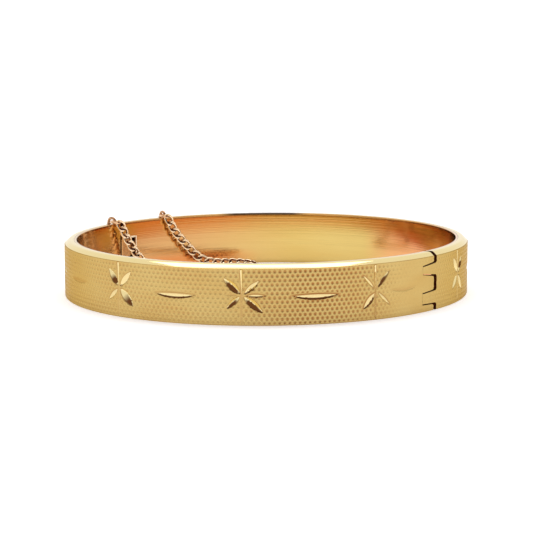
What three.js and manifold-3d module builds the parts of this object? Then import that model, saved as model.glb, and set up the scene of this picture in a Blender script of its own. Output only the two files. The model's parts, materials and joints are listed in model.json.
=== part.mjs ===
// Hinged bangle bracelet: two hollow half bands on a knuckle hinge, a box clasp with a sprung catch,
// and a curb-link safety chain between two eyelets. Millimetres, +Z up.
// Origin: centre of the bangle on the plane it rests on. +X points to the hinge, the clasp is near -X.
import * as THREE from 'three';
import { mergeVertices } from 'three/addons/utils/BufferGeometryUtils.js';
import Module from 'manifold-3d';

const wasm = await Module();
wasm.setup();

// ---- Driving dimensions -------------------------------------------------------------------------
const HALF_WIDTH = 31; // outer oval, half its size along X, hinge to clasp
const HALF_LENGTH = 32.5; // outer oval, half its size along Y
const HEIGHT = 8.7; // band height
const WALL = 1.9; // thickness of the hollow band
const SHEET = 0.45; // outer shell sheet
const LINER = 0.4; // inner liner sheet
const GAP = 0.05; // hairline between soldered pieces
const EDGE = 0.25; // chamfer on the outer rims
const INNER_EDGE = 0.08; // chamfer on the wrist-side rims
const BAND_STEPS = 44; // straight steps along each half band
const MID_WALL = WALL / 2;
const WELD = 1e-4; // corners closer than this are one corner

const KNUCKLE_REACH = 1.4; // how far a hinge finger passes the pin
const ROOT_CLEARANCE = 0.4; // end gap of a hinge finger
const KERF = 0.1; // side gap between hinge fingers
const FINGER_TAPER = 0.14; // how much a finger's free side closes in at its tip
const FINGER_CORNER = 0.3; // cut corner at a finger's tip
const FINGER_PAST_ROOT = 1; // how far a finger's outline runs on into its own half
const LEAF_LENGTH = 3.4; // hinge leaf, from the pin back into its half
const PIN_RADIUS = 0.35;
const PIN_CLEARANCE = 0.08;
const PIN_SIDES = 16;
const CUT_OVERRUN = 2; // how far a cutting solid passes the faces it cuts
const HINGE_CUT = { inner: 24.5, outer: 35.5, length: 6 }; // box around the hinge, X and Y
const FINGER_OVERRUN = 0.5; // how far a finger's slab passes that box
// Front hinge fingers, low and high z. The rear half's fingers fill the spaces between.
const FRONT_FINGERS = [[-1, 1.05], [3.0, 5.35], [7.05, HEIGHT + 1]];

const CLASP_ANGLE = THREE.MathUtils.degToRad(186.1); // oval angle of the seam between the halves
const SEAM = 0.3; // gap between the halves at the clasp
const PLATE = 0.5; // end plates at the clasp
const TONGUE_REACH = 5; // how far the tongue enters the rear half
const TONGUE_HALF_HEIGHT = 1.45;
const TONGUE_OUTER_DEPTH = 0.8; // depth of the tongue's outer face below the outer surface
const SPRING_SHEET = 0.18;
const CATCH_LIFT = 0.25; // how far the sprung leaf stands off the tongue at its free end
const CATCH_TO_MOUTH = 0.15; // from the leaf's free end to the rear half's end
const WINDOW_LENGTH = 3.8; // notch in the rear liner for the catch's thumb pad
const WINDOW_HALF_HEIGHT = 1.75;
const NOTCH_SKIN = 0.12; // the notch stops this far above the shell's inner face
const PAD_LENGTH = 2;
const PAD_DEPTH = 0.05; // from the wrist-side surface down to the pad
const PAD_CORNER = 0.2;
const CURVED_STEPS = 4; // straight steps along the tongue and the notch

const EYELET_ANGLES = { front: THREE.MathUtils.degToRad(189.06), rear: THREE.MathUtils.degToRad(167.3) };
const EYELET_DEPTH = 1.15; // from the outer surface to the middle of the eyelet
const EYELET_RADIUS = 0.68;
const EYELET_LEG = 0.25;
const EYELET_WIRE = 0.2;
const RING_RADIUS = 0.78; // jump ring, to the middle of its wire
const RING_WIRE = 0.16;
const RING_HOLE_HEIGHT = 0.4; // where the ring's wire passes under the eyelet, above the rim
const RING_DROOP = THREE.MathUtils.degToRad(8); // below level, towards the wrist
const EYELET_SIDES = 8;
const EYELET_TURNS = 8; // straight steps round the staple's bend
const RING_SIDES = 6;
const RING_TURNS = 16;

const LINK_COUNT = 38;
const LINK_WIRE = 0.19; // wire radius
const LINK_HALF_LENGTH = 0.925; // to the middle of the wire
const LINK_HALF_WIDTH = 0.565;
const LINK_TWIST = -Math.PI / 4; // each end of a curb link turns this far out of its plane
const LINK_SQUARENESS = 0.8;
const LINK_SIDES = 6;
const LINK_TURNS = 14;
const RING_SLACK = 0.08;
const RING_TO_LINK = RING_WIRE + LINK_WIRE + RING_SLACK; // between wire centres, ring to first link

// ---- Materials ----------------------------------------------------------------------------------
function gold(color, roughness) {
  return new THREE.MeshStandardMaterial({ color, roughness, metalness: 1 });
}
const TEXTURED_GOLD = gold(0xd8b064, 0.38);
const POLISHED_GOLD = gold(0xd89a4c, 0.15);
const WIRE_GOLD = gold(0xd9a066, 0.2);
const SPRING_GOLD = gold(0xb87a45, 0.3);

const bangle = new THREE.Group();
function addPart(name, geometry, material) {
  const mesh = new THREE.Mesh(geometry, material);
  mesh.name = name;
  bangle.add(mesh);
  return mesh;
}

// ---- Solids -------------------------------------------------------------------------------------
function toSolid(geometry) {
  const bare = geometry.clone();
  bare.deleteAttribute('normal');
  bare.deleteAttribute('uv');
  const merged = mergeVertices(bare, WELD);
  return new wasm.Manifold(new wasm.Mesh({
    numProp: 3,
    vertProperties: new Float32Array(merged.attributes.position.array),
    triVerts: new Uint32Array(merged.index.array),
  }));
}

function toGeometry(solid) {
  const mesh = solid.getMesh();
  const geometry = new THREE.BufferGeometry();
  geometry.setAttribute('position', new THREE.BufferAttribute(mesh.vertProperties, 3));
  geometry.setIndex(new THREE.BufferAttribute(mesh.triVerts, 1));
  geometry.computeVertexNormals();
  return geometry;
}

function cut(geometry, cutters) {
  return toGeometry(cutters.reduce((solid, cutter) => solid.subtract(cutter), toSolid(geometry)));
}

function box(low, high) {
  const size = high.map((value, axis) => value - low[axis]);
  const centre = high.map((value, axis) => (value + low[axis]) / 2);
  return toSolid(new THREE.BoxGeometry(...size).translate(...centre));
}

// ---- The oval band ------------------------------------------------------------------------------
function outwardNormal(angle) {
  return new THREE.Vector3(Math.cos(angle) / HALF_WIDTH, Math.sin(angle) / HALF_LENGTH, 0).normalize();
}

function bandPoint(angle, depth, z) {
  const outer = new THREE.Vector3(HALF_WIDTH * Math.cos(angle), HALF_LENGTH * Math.sin(angle), z);
  return outer.addScaledVector(outwardNormal(angle), -depth);
}

// The direction along the band, away from the front half and into the rear half at the clasp.
function towardsRear(angle) {
  const n = outwardNormal(angle);
  return new THREE.Vector3(n.y, -n.x, 0);
}

function arcSpeed(angle) {
  return Math.hypot(HALF_WIDTH * Math.sin(angle), HALF_LENGTH * Math.cos(angle));
}

class BandArc extends THREE.Curve {
  constructor(start, end) {
    super();
    this.start = start;
    this.end = end;
  }

  getPoint(u, target = new THREE.Vector3()) {
    return target.copy(bandPoint(THREE.MathUtils.lerp(this.start, this.end, u), 0, 0));
  }
}

// A closed section, given as [depth, z] corners, swept along the band.
function sweep(section, start, end, steps) {
  const shape = new THREE.Shape(section.map(([depth, z]) => new THREE.Vector2(-z, depth)));
  return new THREE.ExtrudeGeometry(shape, { steps, extrudePath: new BandArc(start, end) });
}

function strip(depthLow, depthHigh, zLow, zHigh) {
  return [[depthLow, zLow], [depthHigh, zLow], [depthHigh, zHigh], [depthLow, zHigh]];
}

const CHANNEL = [
  [EDGE, 0], [WALL - INNER_EDGE, 0], [WALL, INNER_EDGE], [WALL, SHEET], [SHEET, SHEET],
  [SHEET, HEIGHT - SHEET], [WALL, HEIGHT - SHEET], [WALL, HEIGHT - INNER_EDGE],
  [WALL - INNER_EDGE, HEIGHT], [EDGE, HEIGHT], [0, HEIGHT - EDGE], [0, EDGE],
];
const INSIDE_LOW = SHEET + GAP;
const INSIDE_HIGH = HEIGHT - SHEET - GAP;
const LINER_DEPTH = WALL - LINER;

const SEAM_ANGLE = SEAM / 2 / arcSpeed(CLASP_ANGLE);
const FRONT_START = CLASP_ANGLE + SEAM_ANGLE - 2 * Math.PI;
const REAR_END = CLASP_ANGLE - SEAM_ANGLE;
const FINGER_ANGLE = KNUCKLE_REACH / HALF_LENGTH;
const LEAF_ANGLE = LEAF_LENGTH / HALF_LENGTH;
const LINER_ANGLE = (LEAF_LENGTH + GAP) / HALF_LENGTH;

// ---- Hinge --------------------------------------------------------------------------------------
// A front finger seen from outside, grown sideways by the kerf and past its tip by the end gap.
function fingerOutline([zLow, zHigh], side, tipGap) {
  const root = -(KNUCKLE_REACH + ROOT_CLEARANCE) - FINGER_PAST_ROOT;
  const tip = KNUCKLE_REACH + tipGap;
  const low = zLow - side;
  const high = zHigh + side;
  const lowTip = zLow > 0 ? low + FINGER_TAPER : low;
  const highTip = zHigh < HEIGHT ? high - FINGER_TAPER : high;
  return [
    [root, low], [tip - FINGER_CORNER, lowTip], [tip, lowTip + FINGER_CORNER],
    [tip, highTip - FINGER_CORNER], [tip - FINGER_CORNER, highTip], [root, high],
  ];
}

function fingerSolid(finger, side, tipGap) {
  const corners = fingerOutline(finger, side, tipGap).map(([y, z]) => new THREE.Vector2(y, z));
  const depth = HINGE_CUT.outer - HINGE_CUT.inner + 2 * FINGER_OVERRUN;
  const slab = new THREE.ExtrudeGeometry(new THREE.Shape(corners), { depth, bevelEnabled: false });
  // The outline's x and y become the bangle's y and z; the slab runs along X through the wall.
  const [alongX, alongY, alongZ] = [[1, 0, 0], [0, 1, 0], [0, 0, 1]].map((a) => new THREE.Vector3(...a));
  slab.applyMatrix4(new THREE.Matrix4().makeBasis(alongY, alongZ, alongX));
  return toSolid(slab.translate(HINGE_CUT.inner - FINGER_OVERRUN, 0, 0));
}

function hingeBox(yLow, yHigh) {
  return box([HINGE_CUT.inner, yLow, -CUT_OVERRUN], [HINGE_CUT.outer, yHigh, HEIGHT + CUT_OVERRUN]);
}
const frontHingeCut = FRONT_FINGERS.reduce(
  (solid, finger) => solid.subtract(fingerSolid(finger, 0, 0)),
  hingeBox(-(KNUCKLE_REACH + ROOT_CLEARANCE), HINGE_CUT.length),
);
const rearHingeCut = FRONT_FINGERS.reduce(
  (solid, finger) => solid.add(fingerSolid(finger, KERF, ROOT_CLEARANCE)),
  hingeBox(-HINGE_CUT.length, -KNUCKLE_REACH),
);

const PIN_X = HALF_WIDTH - MID_WALL;
function pinCylinder(radius, length) {
  const cylinder = new THREE.CylinderGeometry(radius, radius, length, PIN_SIDES);
  return cylinder.rotateX(Math.PI / 2).translate(PIN_X, 0, HEIGHT / 2);
}
const pinBore = toSolid(pinCylinder(PIN_RADIUS + PIN_CLEARANCE, HEIGHT + 2 * CUT_OVERRUN));
const leafSection = strip(INSIDE_LOW, WALL, INSIDE_LOW, INSIDE_HIGH);
const LEAF_STEPS = 2;

// ---- Front half ---------------------------------------------------------------------------------
const linerSection = strip(LINER_DEPTH, WALL, INSIDE_LOW, INSIDE_HIGH);
const frontChannel = sweep(CHANNEL, FRONT_START, FINGER_ANGLE, BAND_STEPS);
addPart('front_outer_shell', cut(frontChannel, [frontHingeCut]), TEXTURED_GOLD);
addPart('front_liner', sweep(linerSection, FRONT_START, -LINER_ANGLE, BAND_STEPS), POLISHED_GOLD);
const frontLeaf = sweep(leafSection, -LEAF_ANGLE, FINGER_ANGLE, LEAF_STEPS);
addPart('front_hinge_leaf', cut(frontLeaf, [frontHingeCut, pinBore]), POLISHED_GOLD);
addPart('hinge_pin', pinCylinder(PIN_RADIUS, INSIDE_HIGH - INSIDE_LOW), SPRING_GOLD);

// ---- Clasp --------------------------------------------------------------------------------------
// Distances along the band from the seam, positive into the rear half.
function claspAngle(distance) {
  return CLASP_ANGLE - distance / arcSpeed(CLASP_ANGLE);
}
const plateSection = strip(INSIDE_LOW, LINER_DEPTH - GAP, INSIDE_LOW, INSIDE_HIGH);
const [plateOuter, plateInner] = [SEAM / 2, SEAM / 2 + PLATE].map((d) => claspAngle(-d) - 2 * Math.PI);
addPart('front_end_plate', sweep(plateSection, plateOuter, plateInner, 1), POLISHED_GOLD);

const tongueSection = strip(
  TONGUE_OUTER_DEPTH, TONGUE_OUTER_DEPTH + SPRING_SHEET,
  HEIGHT / 2 - TONGUE_HALF_HEIGHT, HEIGHT / 2 + TONGUE_HALF_HEIGHT,
);
const tongue = sweep(tongueSection, claspAngle(TONGUE_REACH), claspAngle(-SEAM / 2 + GAP), CURVED_STEPS);
addPart('clasp_tongue', tongue, SPRING_GOLD);

// The sprung leaf folds back over the tongue from its tip and rises to the pad by the seam.
function catchOutline() {
  const freeEnd = SEAM / 2 + CATCH_TO_MOUTH;
  const bottomAtTip = TONGUE_OUTER_DEPTH + SPRING_SHEET + GAP;
  const rise = (distance) => CATCH_LIFT * (TONGUE_REACH - distance) / (TONGUE_REACH - freeEnd);
  const inner = (distance) => [distance, bottomAtTip + rise(distance)];
  const outer = (distance) => [distance, bottomAtTip + rise(distance) + SPRING_SHEET];
  const padEnd = freeEnd + PAD_LENGTH;
  const padTop = WALL - PAD_DEPTH;
  return [
    inner(freeEnd), inner(padEnd), inner(TONGUE_REACH), outer(TONGUE_REACH), outer(padEnd),
    [padEnd, padTop], [freeEnd + PAD_CORNER, padTop], [freeEnd, padTop - PAD_CORNER],
  ];
}
const catchShape = new THREE.Shape(catchOutline().map(([distance, depth]) => {
  const point = bandPoint(claspAngle(distance), depth, 0);
  return new THREE.Vector2(point.x, point.y);
}));
const catchHeight = 2 * TONGUE_HALF_HEIGHT;
const catchLeaf = new THREE.ExtrudeGeometry(catchShape, { depth: catchHeight, bevelEnabled: false });
addPart('catch_spring', catchLeaf.translate(0, 0, HEIGHT / 2 - TONGUE_HALF_HEIGHT), SPRING_GOLD);

// The notch for the tongue and pad, open to the wrist and to the seam.
const notchSection = strip(
  INSIDE_LOW + NOTCH_SKIN, WALL + CUT_OVERRUN,
  HEIGHT / 2 - WINDOW_HALF_HEIGHT, HEIGHT / 2 + WINDOW_HALF_HEIGHT,
);
const notchEnd = claspAngle(-CUT_OVERRUN / 2);
const notch = toSolid(sweep(notchSection, claspAngle(WINDOW_LENGTH), notchEnd, CURVED_STEPS));

// ---- Rear half ----------------------------------------------------------------------------------
const rearChannel = sweep(CHANNEL, -FINGER_ANGLE, REAR_END, BAND_STEPS);
addPart('rear_outer_shell', cut(rearChannel, [rearHingeCut]), TEXTURED_GOLD);
const rearLiner = sweep(linerSection, LINER_ANGLE, REAR_END, BAND_STEPS);
addPart('rear_liner', cut(rearLiner, [notch]), POLISHED_GOLD);
const rearLeaf = sweep(leafSection, -FINGER_ANGLE, LEAF_ANGLE, LEAF_STEPS);
addPart('rear_hinge_leaf', cut(rearLeaf, [rearHingeCut, pinBore]), POLISHED_GOLD);
const mouthPlate = sweep(plateSection, claspAngle(SEAM / 2 + PLATE), claspAngle(SEAM / 2), 1);
addPart('rear_mouth_plate', cut(mouthPlate, [notch]), POLISHED_GOLD);

// ---- Eyelets and jump rings ---------------------------------------------------------------------
// A staple: two straight legs joined by a half round.
function stapleCurve() {
  const path = new THREE.CurvePath();
  const at = (x, z) => new THREE.Vector3(x, 0, z);
  path.add(new THREE.LineCurve3(at(EYELET_RADIUS, 0), at(EYELET_RADIUS, EYELET_LEG)));
  for (let i = 0; i < EYELET_TURNS; i += 1) {
    const [from, to] = [i, i + 1].map((step) => Math.PI * step / EYELET_TURNS);
    const on = (turn) => at(EYELET_RADIUS * Math.cos(turn), EYELET_LEG + EYELET_RADIUS * Math.sin(turn));
    path.add(new THREE.LineCurve3(on(from), on(to)));
  }
  path.add(new THREE.LineCurve3(at(-EYELET_RADIUS, EYELET_LEG), at(-EYELET_RADIUS, 0)));
  return path;
}

function circle(radius, sides) {
  const corners = Array.from({ length: sides }, (_, i) => 2 * Math.PI * i / sides);
  return new THREE.Shape(corners.map((a) => new THREE.Vector2(radius * Math.cos(a), radius * Math.sin(a))));
}

// Directions at an eyelet: inward to the wrist, along the band into the rear half, and out along
// the ring, which hangs over the wrist-side edge of the rim.
function eyeletAxes(angle) {
  const inward = outwardNormal(angle).negate();
  const along = towardsRear(angle);
  const ringOut = inward.clone().multiplyScalar(Math.cos(RING_DROOP));
  ringOut.z = -Math.sin(RING_DROOP);
  return { inward, along, ringOut };
}

function orient(mesh, xAxis, yAxis, position) {
  const zAxis = xAxis.clone().cross(yAxis);
  mesh.quaternion.setFromRotationMatrix(new THREE.Matrix4().makeBasis(xAxis, yAxis, zAxis));
  mesh.position.copy(position);
}

// Where each ring's wire passes under its eyelet, and the far point of the ring that holds the chain.
function ringPoints(angle) {
  const { ringOut } = eyeletAxes(angle);
  const hole = bandPoint(angle, EYELET_DEPTH, HEIGHT + RING_HOLE_HEIGHT);
  const centre = hole.clone().addScaledVector(ringOut, RING_RADIUS);
  const far = hole.clone().addScaledVector(ringOut, 2 * RING_RADIUS);
  return { hole, centre, far };
}

const staplePath = stapleCurve();
const stapleSteps = EYELET_TURNS + 6; // the two legs take three steps each
for (const [half, angle] of Object.entries(EYELET_ANGLES)) {
  const { inward, along, ringOut } = eyeletAxes(angle);
  const section = circle(EYELET_WIRE, EYELET_SIDES);
  const wire = new THREE.ExtrudeGeometry(section, { steps: stapleSteps, extrudePath: staplePath });
  const eyelet = addPart(`${half}_eyelet`, wire, WIRE_GOLD);
  orient(eyelet, inward, along, bandPoint(angle, EYELET_DEPTH, HEIGHT + GAP));
  const torus = new THREE.TorusGeometry(RING_RADIUS, RING_WIRE, RING_SIDES, RING_TURNS);
  const ring = addPart(`${half}_jump_ring`, torus, WIRE_GOLD);
  orient(ring, ringOut, along, ringPoints(angle).centre);
}

// ---- Safety chain -------------------------------------------------------------------------------
// The chain hangs from the front ring, lies in a loop on the resting plane and climbs to the rear ring.
const chainEnds = {
  start: ringPoints(EYELET_ANGLES.front).far,
  end: ringPoints(EYELET_ANGLES.rear).far,
};
// Where the middle of the chain lies, from the front ring to the rear ring.
const CHAIN_LAY = [
  [-27.75, -4.2, 8], [-27.7, -3.4, 6.3], [-27.4, -2.3, 4.6], [-26.95, -1.3, 3], [-26.1, -0.2, 1.65],
  [-24.8, 0.9, 0.8], [-22.3, 2.4, 0.5], [-19.3, 4, 0.5], [-16.6, 6.1, 0.5], [-14.6, 8.7, 0.55],
  [-13.9, 11.8, 0.7], [-15, 14.6, 0.85], [-17.4, 15.9, 0.9], [-19.8, 15, 0.9], [-21.6, 13.3, 0.85],
  [-23.3, 12.1, 1], [-24.7, 11.2, 1.75], [-25.6, 10.3, 3], [-26.4, 9, 4.7], [-27.1, 7.5, 6.7],
];
const chainLine = new THREE.CatmullRomCurve3(
  [chainEnds.start, ...CHAIN_LAY.map((p) => new THREE.Vector3(...p)), chainEnds.end],
  false,
  'centripetal',
);
const CHAIN_ROLL = { hangs: 0.05, lies: 0.33, tips: 0.5, hangsAgain: 0.95 }; // parts of its length
const HANGING_ROLL = THREE.MathUtils.degToRad(107); // how far a hanging link is turned from lying flat
const SEARCH_STEP = 0.002; // of the chain line's length
const HALVINGS = 40;
const PITCH_BOUNDS = { low: 1.2, high: 1.6 };

// The next place along the chain line at a straight distance from a point.
function stepAlong(from, u, distance) {
  let low = u;
  let high = u;
  while (high < 1 && chainLine.getPoint(high).distanceTo(from) < distance) high += SEARCH_STEP;
  for (let i = 0; i < HALVINGS; i += 1) {
    const middle = (low + high) / 2;
    if (chainLine.getPoint(middle).distanceTo(from) < distance) low = middle;
    else high = middle;
  }
  return high;
}

// Points where neighbours touch: ring to first link, link to link, last link to ring.
function contactPoints(pitch) {
  const endStep = LINK_HALF_LENGTH - RING_TO_LINK + pitch / 2;
  const points = [chainEnds.start.clone()];
  let u = 0;
  for (let i = 0; i < LINK_COUNT; i += 1) {
    const distance = i === 0 || i === LINK_COUNT - 1 ? endStep : pitch;
    u = stepAlong(points[i], u, distance);
    points.push(chainLine.getPoint(u));
  }
  return { points, overshoot: u - 1 };
}

// The pitch that makes a whole number of links end at the rear ring.
function fitPitch() {
  let { low, high } = PITCH_BOUNDS;
  for (let i = 0; i < HALVINGS; i += 1) {
    const middle = (low + high) / 2;
    if (contactPoints(middle).overshoot < 0) low = middle;
    else high = middle;
  }
  return (low + high) / 2;
}

class CurbLoop extends THREE.Curve {
  getPoint(u, target = new THREE.Vector3()) {
    const turn = 2 * Math.PI * u;
    const squared = (value) => Math.sign(value) * Math.abs(value) ** LINK_SQUARENESS;
    const across = LINK_HALF_WIDTH * squared(Math.sin(turn));
    const twist = LINK_TWIST * Math.cos(turn);
    const along = LINK_HALF_LENGTH * squared(Math.cos(turn));
    return target.set(along, across * Math.cos(twist), across * Math.sin(twist));
  }
}

// The way a link's face looks: to the wrist where it hangs at either end, up where it lies, and
// tipping over gradually in between. Along is 0 at the front ring and 1 at the rear ring.
function linkFace(direction, along) {
  const lyingDown = THREE.MathUtils.smoothstep(along, CHAIN_ROLL.hangs, CHAIN_ROLL.lies);
  const gettingUp = THREE.MathUtils.smoothstep(along, CHAIN_ROLL.tips, CHAIN_ROLL.hangsAgain);
  const roll = HANGING_ROLL * (lyingDown - 1 + gettingUp);
  const left = new THREE.Vector3(0, 0, 1).cross(direction).normalize();
  const top = direction.clone().cross(left);
  return top.multiplyScalar(Math.cos(roll)).addScaledVector(left, Math.sin(roll));
}

const pitch = fitPitch();
const contacts = contactPoints(pitch).points;
const linkGeometry = new THREE.TubeGeometry(new CurbLoop(), LINK_TURNS, LINK_WIRE, LINK_SIDES, true);
for (let i = 0; i < LINK_COUNT; i += 1) {
  const direction = contacts[i + 1].clone().sub(contacts[i]).normalize();
  const place = contacts[i].clone().add(contacts[i + 1]).multiplyScalar(0.5);
  if (i === 0) place.copy(contacts[1]).addScaledVector(direction, -pitch / 2);
  if (i === LINK_COUNT - 1) place.copy(contacts[i]).addScaledVector(direction, pitch / 2);
  const face = linkFace(direction, i / (LINK_COUNT - 1));
  const across = face.clone().cross(direction);
  const link = addPart(`chain_link_${String(i + 1).padStart(2, '0')}`, linkGeometry, WIRE_GOLD);
  orient(link, direction, across, place);
}

export default bangle;
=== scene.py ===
"""Looks of the hinged gold bangle: star-cut stippled band, polished liners, box clasp and chain."""
import json
import math

import bpy
import numpy as np
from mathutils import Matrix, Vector

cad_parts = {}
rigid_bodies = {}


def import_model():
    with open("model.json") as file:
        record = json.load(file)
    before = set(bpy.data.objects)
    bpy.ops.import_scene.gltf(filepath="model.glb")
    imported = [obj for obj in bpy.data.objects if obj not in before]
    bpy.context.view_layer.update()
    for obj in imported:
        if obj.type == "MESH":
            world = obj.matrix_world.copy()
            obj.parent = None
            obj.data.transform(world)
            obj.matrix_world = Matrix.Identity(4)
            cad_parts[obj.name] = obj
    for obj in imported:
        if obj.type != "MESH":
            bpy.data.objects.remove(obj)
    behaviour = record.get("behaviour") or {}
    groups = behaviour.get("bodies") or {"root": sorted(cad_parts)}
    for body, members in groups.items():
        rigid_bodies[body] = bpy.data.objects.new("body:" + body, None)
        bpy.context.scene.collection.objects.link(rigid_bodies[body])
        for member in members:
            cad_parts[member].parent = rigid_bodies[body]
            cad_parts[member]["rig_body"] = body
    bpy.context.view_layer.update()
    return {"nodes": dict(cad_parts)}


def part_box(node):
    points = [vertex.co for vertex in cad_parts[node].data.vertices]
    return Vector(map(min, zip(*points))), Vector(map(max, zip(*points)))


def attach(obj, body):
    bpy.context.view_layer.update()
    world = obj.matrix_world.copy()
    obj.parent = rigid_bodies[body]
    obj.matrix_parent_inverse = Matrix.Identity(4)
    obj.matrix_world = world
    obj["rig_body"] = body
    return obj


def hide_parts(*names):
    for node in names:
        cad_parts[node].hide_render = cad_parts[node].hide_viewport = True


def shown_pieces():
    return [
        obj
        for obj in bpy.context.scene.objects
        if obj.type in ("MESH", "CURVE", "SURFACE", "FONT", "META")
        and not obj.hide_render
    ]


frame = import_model()

# ---- Driving dimensions, in millimetres like the CAD ----------------------------------------------
MM = 0.001
HALF_WIDTH = 31.0  # outer oval, half its size along X
HALF_LENGTH = 32.5  # outer oval, half its size along Y
HEIGHT = 8.7
MIDDLE = HEIGHT / 2
WALL = 1.9
SHEET = 0.45
LINER = 0.4
GAP = 0.05  # hairline between soldered pieces
BEVEL_HIGH = 0.62  # how far the upper rim's bevel reaches down the outer face
BEVEL_DEEP = 0.85  # and how far into the wall
BEVEL_CURVE = 1.35
LOWER_ROUND = 0.22  # rounding of the lower rim
INNER_BEND = 0.2  # bevel of the channel's inner corners
FLANGE_END = WALL - LINER - 0.015  # where the rims' flat meets the liner

CLASP_ANGLE = math.radians(186.1)
SEAM = 0.5
KNUCKLE_REACH = 1.4
TIP_GAP = 0.78
KERF = 0.18
LEAF_TIP_GAP = 0.32  # the same gaps in the leaves behind, as tight as their turning allows
LEAF_KERF = 0.08
RELIEF = 0.012
FINGER_CORNER = 0.38
# Front hinge fingers: low and high z at the root, low and high z at the tip.
FRONT_FINGERS = [(-1.0, 1.08, -1.0, 0.98), (2.92, 5.58, 3.14, 5.2), (6.94, 9.7, 7.26, 9.7)]
CUTTER_IN = 5.0  # how far the hinge's cutters reach in from the outer face
CUTTER_OVER = 2.0  # and past what they cut

LINER_EDGE = 0.1  # rounding of the liners' edges
LINER_SETBACK = 0.13  # the liners end this far short of the shells at the clasp
LINER_LOW = 0.01
LINER_HIGH = HEIGHT - 0.01
LEAF_LENGTH = 3.4  # of a hinge leaf, from the pin to its liner
WINDOW_LENGTH = 3.8  # of the catch's window, from the clasp
WINDOW_HALF_HEIGHT = 1.75
WINDOW_FLOOR = SHEET + 0.17
WINDOW_OVER = 1.0  # how far its cutter reaches out of the wall and past the clasp
FRAME_WIRE = 0.16  # radii of the wires
LINK_WIRE = 0.208
RING_WIRE = 0.175
EYELET_WIRE = 0.23
FRAME_SETBACK = 0.1  # the window's frame ends this far short of the shell
LINK_HALF_LENGTH = 0.925  # of a link's centreline
LINK_HALF_WIDTH = 0.565
LINK_TWIST = -math.pi / 4
LINK_SQUARENESS = 0.8
RING_RADIUS = 0.78
EYELET_DEPTH = 1.15  # of an eyelet's middle below the outer face
EYELET_RADIUS = 0.68
EYELET_LEG = 0.25
EYELET_ROOT = 0.1  # how far its legs go down into the rim
EYELET_BEND = 0.05  # the legs' last points lie this far below the arch
BEAD_RADIUS = 0.4
BEAD_HEIGHT = 0.16

STAR_DISTANCES = [-92.4, -72.3, -50.7, -30.9, -10.8, 9.95, 30.0, 50.0, 70.0, 90.0]
STAR_HEIGHT = 4.4  # of the stars' middles
STAR_REACH = 4.5  # no leaf goes further than this along the band
# Leaf cuts of a star: direction in degrees from the band, end, widest half-width, how far the valley
# leans towards the left of that direction as a share of the half-width, and the slope where it differs.
USUAL_STAR = [
    (133, 3.4, 0.5, -0.5), (47, 3.5, 0.5, -0.6), (222, 3.1, 0.42, -0.5), (-42, 3.9, 0.6, 0.55),
    (0, 3.5, 0.42, -0.6), (180, 2.9, 0.22, 0.0),
]
# The stars are cut by hand, and the ones by the hinge differ most.
OWN_STARS = {
    -50.7: [
        (130, 3.5, 0.62, -0.5), (47, 3.6, 0.56, -0.6), (222, 3.2, 0.42, 0.5), (-42, 4.0, 0.78, 0.5, 0.6),
    ],
    -30.9: [
        (138, 3.7, 0.62, -0.2), (42, 3.4, 0.45, -0.6), (222, 3.1, 0.45, -0.5), (-40, 4.0, 0.62, 0.2),
        (0, 3.9, 0.42, -0.3, 0.36), (180, 2.9, 0.26, 0.0, 0.3),
    ],
    -10.8: [(133, 3.5, 0.3, 0.5), (47, 3.9, 0.36, 0.5), (228, 3.7, 0.62, 0.8, 0.4), (-42, 3.9, 0.32, -0.5)],
    9.95: [(128, 3.4, 0.7, -0.5), (52, 3.4, 0.6, -0.6), (222, 3.2, 0.6, -0.5), (-50, 3.6, 0.6, 0.5)],
}
LEAF_START = 0.3  # from the star's middle
LEAF_SLOPE = 0.8  # depth of a cut for each millimetre of its half-width
LEAF_SKEW = 0.85  # below 1, a leaf is widest before its middle
LEAF_FULLNESS = 0.8  # below 1, its outline is fuller than a sine
SPINE_LEFT = 0.3  # upright cut through a star: a wide facet on its left, a steep one on its right
SPINE_FLARE = 0.3  # how much wider the left facet is at the upper rim
SPINE_RIGHT = 0.1
SPINE_LEFT_SLOPE = 0.38
SPINE_RIGHT_SLOPE = 1.6
MARQUISES = [  # centre along the band, length, strength of the cut
    (-82.3, 7.4, 1.0), (-61.5, 7.4, 0.5), (-40.8, 7.4, 1.0), (-20.3, 7.8, 1.1), (-5.6, 6.4, 0.35),
    (20.0, 7.4, 1.0), (40.0, 7.4, 1.0), (60.0, 7.4, 1.0), (80.0, 7.4, 0.7),
]
MARQUISE_UPPER = 0.36  # above and below its axis
MARQUISE_LOWER = 0.82
MARQUISE_VALLEY = 0.55  # share of the lower part where it is deepest
MARQUISE_UPPER_FULLNESS = 0.4
MARQUISE_LOWER_FULLNESS = 0.9
MARQUISE_SLOPE = 0.24  # of the wide upper facet
MARQUISE_DROP = 0.05  # of its axis below the stars' middles
STIPPLE_PITCH = 0.73
STIPPLE_ROW = 0.62
STIPPLE_DEPTH = 0.08
PIT_HALF_LENGTH = 0.42  # of the pitch
PIT_HALF_HEIGHT = 0.46  # of the row
HINGE_WEAR = 0.8  # share of the pits' depth that is worn off beside the hinge
HINGE_WEAR_PLACE = (-3.0, 6.0)  # centre along the band and width
FRESH_SHARE = 0.3  # and share that is left only where the face is freshest
FRESH_PLACE = (-22.0, 12.0)
END_WEAR_LEAST = 0.3  # share of the depth left at the clasp
FRONT_WEAR_START = 4.0  # from the front half's end at the clasp
FRONT_WEAR_LENGTH = 16.0
REAR_WEAR_LENGTH = 10.0
BORDER = 0.1  # the pattern fades out over this much at the rims

COLUMN_STEP = 0.115  # mesh steps along the band: the shells, the liners and the leaves
LINER_STEP = 0.6
LEAF_STEP = 0.2
ROW_COUNT = 66  # mesh rows up the outer face
LINER_ROWS = 18
LINK_SIDES = 12
BAND_CREASE = 38  # degrees over which an edge is sharp
LINER_CREASE = 35
WIRE_CREASE = 60


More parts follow.
